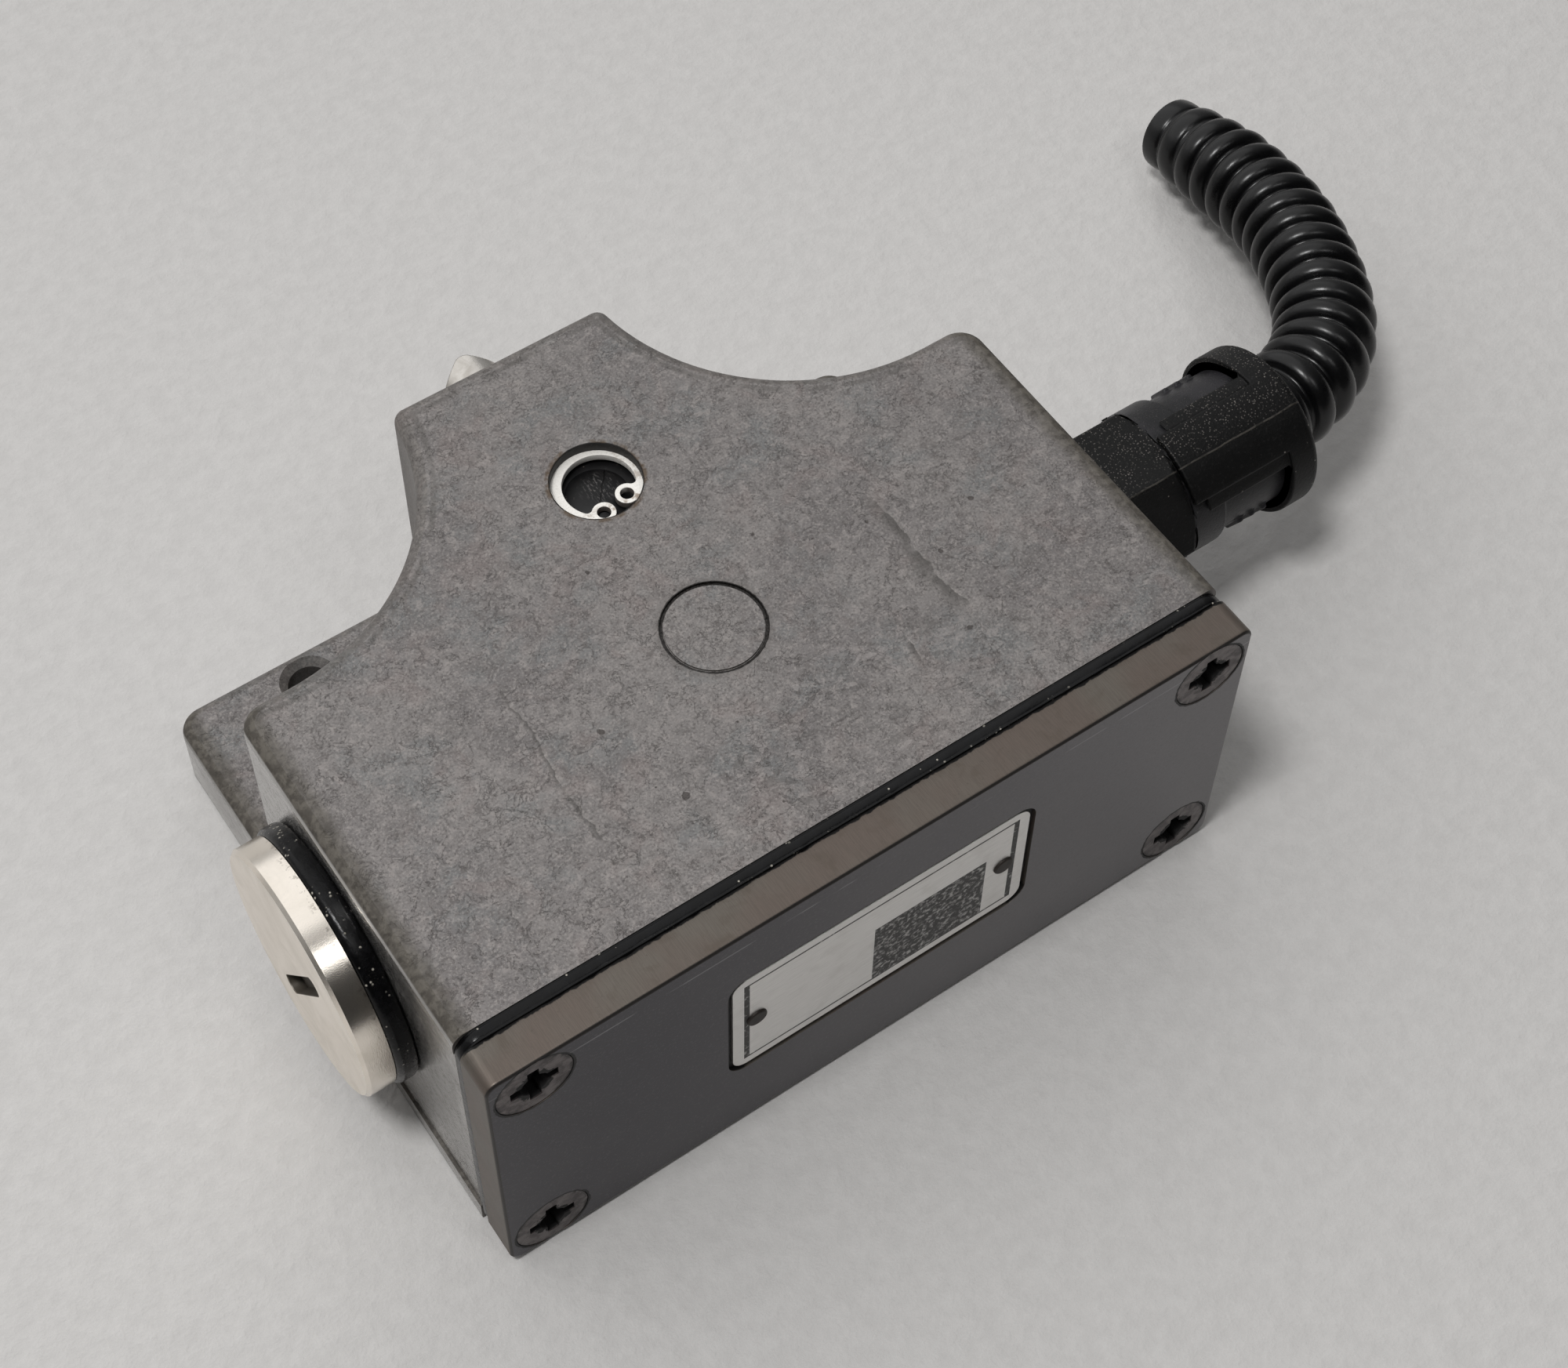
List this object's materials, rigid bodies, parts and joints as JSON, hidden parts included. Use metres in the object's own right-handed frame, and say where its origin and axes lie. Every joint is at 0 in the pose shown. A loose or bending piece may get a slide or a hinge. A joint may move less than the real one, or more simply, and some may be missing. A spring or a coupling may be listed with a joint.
{
  "type": "multiple limit switch",
  "caption": "Die-cast multiple limit switch with a row of roof-tipped plungers, screwed rear cover, blanking plug and a flexible conduit fitting; plungers slide in and return by spring.",
  "frame": {"origin": "on the mounting face, midway between the two mounting holes", "axes": "+Z out of the mounting face towards the top face, +Y the way the plungers point, +X towards the conduit fitting"},
  "size_m": [0.1441, 0.0732, 0.036],
  "materials": {
    "die_cast_body": "tumbled aluminium die casting, matte grey",
    "machined_cover": "machined and anodised aluminium, satin",
    "label_metal": "bare satin label plate",
    "seal_rubber": "glossy black rubber",
    "screw_steel": "zinc-plated steel, satin",
    "plug_nickel": "nickel-plated brass, satin",
    "fitting_plastic": "black glass-filled polyamide, fine texture",
    "conduit_plastic": "black polyamide, glossy",
    "plunger_steel": "ground hardened steel",
    "bush_bronze": "sintered bronze",
    "spring_steel": "spring wire",
    "ring_steel": "bright spring steel",
    "bore_plug_plastic": "black domed plug",
    "element_plastic": "dark moulded thermoset",
    "element_lid_plastic": "amber moulded plastic",
    "actuator_plastic": "red moulded plastic",
    "contact_brass": "brass strip with silver tips",
    "wire_insulation": "soft wire insulation"
  },
  "bodies": {
    "root": {"blanking_plug": "plug_nickel", "blanking_plug_seal": "seal_rubber", "bracket_screws": "screw_steel", "conduit": "conduit_plastic", "conduit_fitting": "fitting_plastic", "conduit_fitting_seal": "seal_rubber", "conduit_locking_sleeve": "fitting_plastic", "conduit_locknut": "plug_nickel", "contact_bracket": "screw_steel", "cover_gasket": "seal_rubber", "cover_plate": "machined_cover", "cover_screws": "screw_steel", "cross_bore_plug": "bore_plug_plastic", "earth_screw": "screw_steel", "earth_washer": "screw_steel", "element_case_lower": "element_plastic", "element_case_upper": "element_plastic", "element_lid_lower": "element_lid_plastic", "element_lid_upper": "element_lid_plastic", "element_screws": "screw_steel", "fixed_contacts_lower": "contact_brass", "fixed_contacts_upper": "contact_brass", "housing": "die_cast_body", "label_plate": "label_metal", "label_rivets": "screw_steel", "lead_wire_lower_left": "wire_insulation", "lead_wire_lower_right": "wire_insulation", "lead_wire_upper_left": "wire_insulation", "lead_wire_upper_right": "wire_insulation", "plunger_bush_lower": "bush_bronze", "plunger_bush_upper": "bush_bronze", "plunger_seal_lower": "seal_rubber", "plunger_seal_upper": "seal_rubber", "retaining_pin": "plunger_steel", "retaining_ring": "ring_steel", "return_spring_lower": "spring_steel", "return_spring_upper": "spring_steel", "terminal_screws": "screw_steel", "terminal_washers": "screw_steel"},
    "plunger_lower": {"plunger_lower": "plunger_steel"},
    "actuator_lower": {"element_actuator_lower": "actuator_plastic"},
    "bridge_lower": {"contact_bridge_lower": "contact_brass"},
    "plunger_upper": {"plunger_upper": "plunger_steel"},
    "actuator_upper": {"element_actuator_upper": "actuator_plastic"},
    "bridge_upper": {"contact_bridge_upper": "contact_brass"}
  },
  "joints": [
    {"name": "plunger_lower_slide", "type": "slide", "parent": "root", "child": "plunger_lower", "axis": [0, -1, 0], "range_m": [0, 0.004], "stiffness_N_per_m": 2500, "springref_m": -0.003, "deforming": ["return_spring_lower"]},
    {"name": "actuator_lower_slide", "type": "slide", "parent": "root", "child": "actuator_lower", "axis": [0, -1, 0], "range_m": [0, 0.004]},
    {"name": "bridge_lower_slide", "type": "slide", "parent": "root", "child": "bridge_lower", "axis": [0, -1, 0], "range_m": [0, 0.001]},
    {"name": "plunger_upper_slide", "type": "slide", "parent": "root", "child": "plunger_upper", "axis": [0, -1, 0], "range_m": [0, 0.004], "stiffness_N_per_m": 2500, "springref_m": -0.003, "deforming": ["return_spring_upper"]},
    {"name": "actuator_upper_slide", "type": "slide", "parent": "root", "child": "actuator_upper", "axis": [0, -1, 0], "range_m": [0, 0.004]},
    {"name": "bridge_upper_slide", "type": "slide", "parent": "root", "child": "bridge_upper", "axis": [0, -1, 0], "range_m": [0, 0.001]}
  ],
  "couplings": [
    {"joint": "actuator_lower_slide", "follows": "plunger_lower_slide", "ratio": 1},
    {"joint": "bridge_lower_slide", "follows": "plunger_lower_slide", "ratio": 0.25},
    {"joint": "actuator_upper_slide", "follows": "plunger_upper_slide", "ratio": 1},
    {"joint": "bridge_upper_slide", "follows": "plunger_upper_slide", "ratio": 0.25}
  ]
}
